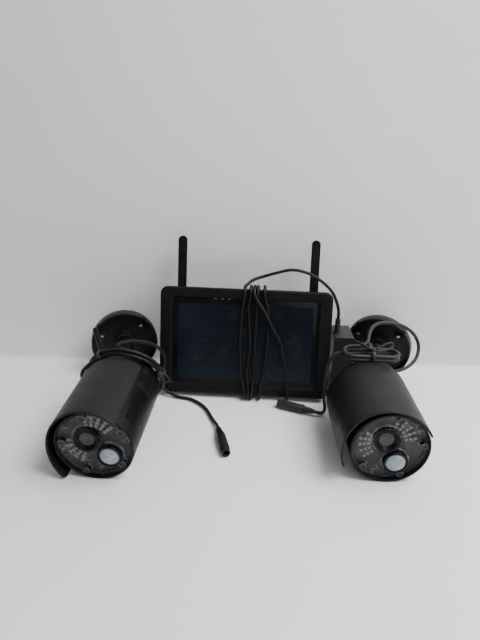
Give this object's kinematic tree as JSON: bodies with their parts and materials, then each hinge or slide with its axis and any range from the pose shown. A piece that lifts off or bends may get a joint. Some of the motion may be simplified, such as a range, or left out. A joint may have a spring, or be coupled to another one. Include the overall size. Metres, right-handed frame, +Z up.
{
  "type": "wireless camera and monitor set",
  "caption": "Tablet-style monitor with flip antennas, bullet cameras on folding wall brackets, and a plug-in adapter whose lead is wound round the monitor",
  "frame": {"origin": "on the table under the middle of the laid-out set", "axes": "+X to the right along the monitor's width, +Y away from the viewer, +Z up"},
  "size_m": [0.3957, 0.2412, 0.1751],
  "materials": {
    "housing_black": "satin fine texture",
    "shade_black": "satin, light scuffs",
    "frame_black": "satin fine texture",
    "panel_glass": "gloss",
    "lcd": "gloss",
    "circuit_board": "solder mask",
    "smoked_window": "gloss smoked",
    "lens_black": "gloss",
    "lens_glass": "coated glass",
    "pir_lens": "milky fresnel",
    "lamp": "clear epoxy over yellow chip",
    "steel_screw": "brushed",
    "lead_jacket": "semi-gloss jacket",
    "grey_jacket": "worn jacket",
    "prong_brass": "plated brass"
  },
  "bodies": {
    "monitor": {"front_frame": "frame_black", "screen_glass": "panel_glass", "lcd_panel": "lcd", "monitor_board": "circuit_board", "rear_cover": "frame_black", "case_screws": "steel_screw", "adapter_case": "housing_black", "adapter_prongs": "prong_brass", "adapter_lead": "lead_jacket", "adapter_winding": "lead_jacket", "adapter_plug": "lead_jacket"},
    "kickstand": {"kickstand": "frame_black"},
    "power_button": {"power_button": "frame_black"},
    "left_flip_antenna": {"left_flip_antenna": "frame_black"},
    "right_flip_antenna": {"right_flip_antenna": "frame_black"},
    "left_camera": {"left_tube_housing": "housing_black", "left_rear_cap": "housing_black", "left_sunshade": "shade_black", "left_face_window": "smoked_window", "left_lens_barrel": "lens_black", "left_lens_glass": "lens_glass", "left_pir_dome": "pir_lens", "left_ir_board": "circuit_board", "left_ir_leds": "lamp", "left_main_board": "circuit_board", "left_face_screws": "steel_screw", "left_cable_gland": "lead_jacket", "left_antenna_base": "housing_black", "left_lead": "lead_jacket", "left_coil": "lead_jacket", "left_plug": "lead_jacket"},
    "left_antenna": {"left_antenna": "housing_black"},
    "left_side_door": {"left_side_door": "housing_black"},
    "left_stud": {"left_tail_stud": "housing_black", "left_elbow_screw": "steel_screw"},
    "left_arm": {"left_arm": "housing_black"},
    "left_base": {"left_base_dish": "housing_black"},
    "right_camera": {"right_tube_housing": "housing_black", "right_rear_cap": "housing_black", "right_sunshade": "shade_black", "right_face_window": "smoked_window", "right_lens_barrel": "lens_black", "right_lens_glass": "lens_glass", "right_pir_dome": "pir_lens", "right_ir_board": "circuit_board", "right_ir_leds": "lamp", "right_main_board": "circuit_board", "right_face_screws": "steel_screw", "right_cable_gland": "lead_jacket", "right_antenna_base": "housing_black", "right_lead": "grey_jacket", "right_hank": "grey_jacket", "right_plug": "grey_jacket"},
    "right_antenna": {"right_antenna": "housing_black"},
    "right_side_door": {"right_side_door": "housing_black"},
    "right_stud": {"right_tail_stud": "housing_black", "right_elbow_screw": "steel_screw"},
    "right_arm": {"right_arm": "housing_black"},
    "right_base": {"right_base_dish": "housing_black"}
  },
  "joints": [
    {"name": "kickstand_fold", "type": "hinge", "parent": "monitor", "child": "kickstand", "pos_m": [-0.05105, 0.07945, 0.09725], "axis": [0.998, -0.0624, 0], "range_deg": [-24, 0]},
    {"name": "power_press", "type": "slide", "parent": "monitor", "child": "power_button", "axis": [-0.0159, -0.2538, -0.9671], "range_m": [0, 0.0008], "stiffness_N_per_m": 400},
    {"name": "left_flip", "type": "hinge", "parent": "monitor", "child": "left_flip_antenna", "pos_m": [-0.08362, 0.0874, 0.10397], "axis": [0.0604, 0.9652, -0.2543], "range_deg": [-90, 30]},
    {"name": "right_flip", "type": "hinge", "parent": "monitor", "child": "right_flip_antenna", "pos_m": [0.07008, 0.07778, 0.10397], "axis": [0.0604, 0.9652, -0.2543], "range_deg": [-30, 90]},
    {"name": "left_camera_lift", "type": "slide", "parent": "monitor", "child": "left_camera", "axis": [0, 0, 1], "range_m": [0, 0.12]},
    {"name": "left_stud_turn", "type": "hinge", "parent": "left_camera", "child": "left_stud", "pos_m": [-0.13484, -0.00602, 0.04163], "axis": [0.0749, 0.996, 0.0488], "range_deg": [-35, 35]},
    {"name": "left_elbow", "type": "hinge", "parent": "left_stud", "child": "left_arm", "pos_m": [-0.13364, 0.00992, 0.04241], "axis": [-0.2058, -0.0325, 0.9781], "range_deg": [-10, 40]},
    {"name": "left_base_turn", "type": "hinge", "parent": "left_arm", "child": "left_base", "pos_m": [-0.15576, 0.09093, 0.04045], "axis": [-0.2633, 0.9644, -0.0234], "range_deg": [-175, 175]},
    {"name": "left_antenna_fold", "type": "hinge", "parent": "left_camera", "child": "left_antenna", "pos_m": [-0.15547, 0.00172, 0.05872], "axis": [0.6165, -0.0847, 0.7828], "range_deg": [-37, 43]},
    {"name": "left_door_open", "type": "hinge", "parent": "left_camera", "child": "left_side_door", "pos_m": [-0.10321, -0.04013, 0.0539], "axis": [0.0749, 0.996, 0.0488], "range_deg": [0, 100]},
    {"name": "right_camera_lift", "type": "slide", "parent": "monitor", "child": "right_camera", "axis": [0, 0, 1], "range_m": [0, 0.12]},
    {"name": "right_stud_turn", "type": "hinge", "parent": "right_camera", "child": "right_stud", "pos_m": [0.1236, -0.0005, 0.0365], "axis": [0, 1, 0], "range_deg": [-35, 35]},
    {"name": "right_elbow", "type": "hinge", "parent": "right_stud", "child": "right_arm", "pos_m": [0.1236, 0.0155, 0.0365], "axis": [-0.1132, 0, 0.9936], "range_deg": [-65, 10], "deforming": ["right_lead"]},
    {"name": "right_base_turn", "type": "hinge", "parent": "right_arm", "child": "right_base", "pos_m": [0.15567, 0.09305, 0.04015], "axis": [0.3818, 0.9232, 0.0435], "range_deg": [-175, 175]},
    {"name": "right_antenna_fold", "type": "hinge", "parent": "right_camera", "child": "right_antenna", "pos_m": [0.13063, 0.0065, 0.06257], "axis": [0.9655, 0, -0.2605], "range_deg": [0, 38]},
    {"name": "right_door_open", "type": "hinge", "parent": "right_camera", "child": "right_side_door", "pos_m": [0.1602, -0.0315, 0.03287], "axis": [0, 1, 0], "range_deg": [0, 100]}
  ]
}
